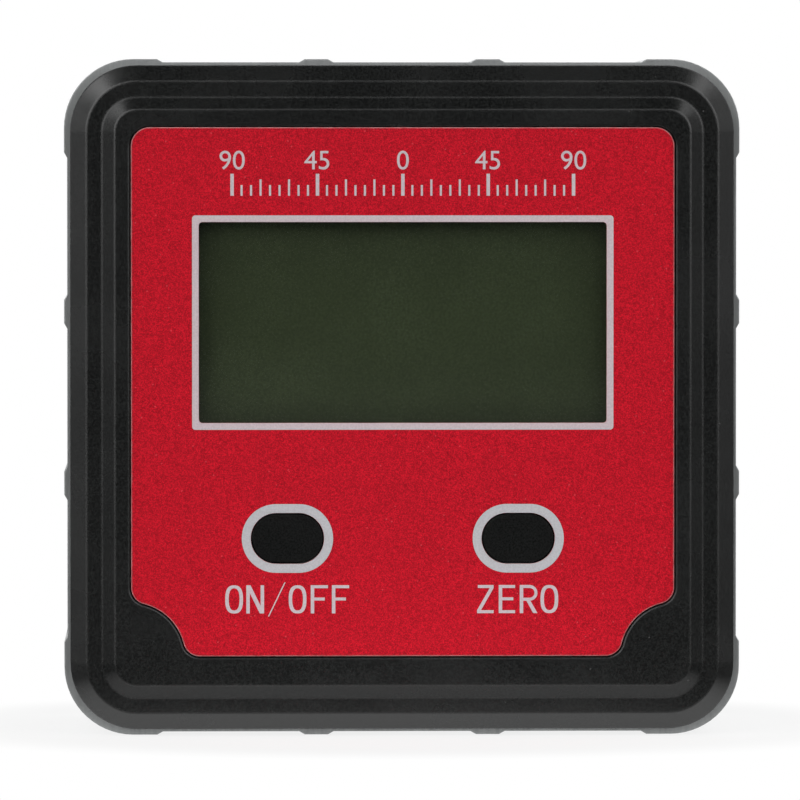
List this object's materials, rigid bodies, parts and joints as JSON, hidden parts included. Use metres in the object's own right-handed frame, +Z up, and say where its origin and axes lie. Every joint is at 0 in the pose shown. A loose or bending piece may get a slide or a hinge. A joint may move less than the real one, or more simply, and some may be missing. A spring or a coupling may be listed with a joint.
{
  "type": "digital angle gauge",
  "caption": "Square box gauge with an aluminium frame, raised contact lands, magnetic base, display window and two press keys, for reading the tilt of a surface it rests on.",
  "frame": {"origin": "middle of the base, on the plane of its contact lands", "axes": "+X to the right of someone facing the display, +Y from the display to the battery door, +Z up"},
  "size_m": [0.054, 0.032, 0.054],
  "materials": {
    "aluminium": "satin",
    "magnet": "plated",
    "black_plastic": "satin",
    "red_film": "fine grain",
    "lens": "clear",
    "display_glass": "dark green",
    "strip_rubber": "matte",
    "board": "solder mask",
    "switch_plastic": "matte",
    "plunger_plastic": "matte",
    "chip_plastic": "matte",
    "ceramic": "matte",
    "screw_steel": "plated",
    "cell_steel": "satin",
    "contact_brass": "plated",
    "black_wire": "satin",
    "red_wire": "satin"
  },
  "bodies": {
    "case": {"frame": "aluminium", "left_magnet": "magnet", "right_magnet": "magnet", "front_cover": "black_plastic", "face_label": "red_film", "display_lens": "lens", "lcd_panel": "display_glass", "upper_zebra_strip": "strip_rubber", "lower_zebra_strip": "strip_rubber", "main_board": "board", "board_screws": "screw_steel", "on_off_switch": "switch_plastic", "zero_switch": "switch_plastic", "microcontroller": "chip_plastic", "tilt_sensor": "chip_plastic", "crystal": "cell_steel", "chip_capacitors": "ceramic", "rear_cover": "black_plastic", "case_screws": "screw_steel", "coin_cell": "cell_steel", "negative_contact": "contact_brass", "positive_contact": "contact_brass", "negative_lead": "black_wire", "positive_lead": "red_wire"},
    "on_off_button": {"on_off_key": "black_plastic", "on_off_plunger": "plunger_plastic"},
    "zero_button": {"zero_key": "black_plastic", "zero_plunger": "plunger_plastic"},
    "door": {"battery_door": "black_plastic"}
  },
  "joints": [
    {"name": "on_off_press", "type": "slide", "parent": "case", "child": "on_off_button", "axis": [0, 1, 0], "range_m": [0, 0.0003], "stiffness_N_per_m": 1500},
    {"name": "zero_press", "type": "slide", "parent": "case", "child": "zero_button", "axis": [0, 1, 0], "range_m": [0, 0.0003], "stiffness_N_per_m": 1500},
    {"name": "door_swing", "type": "hinge", "parent": "case", "child": "door", "pos_m": [0, 0.016, 0.01335], "axis": [-1, 0, 0], "range_deg": [0, 75]}
  ]
}
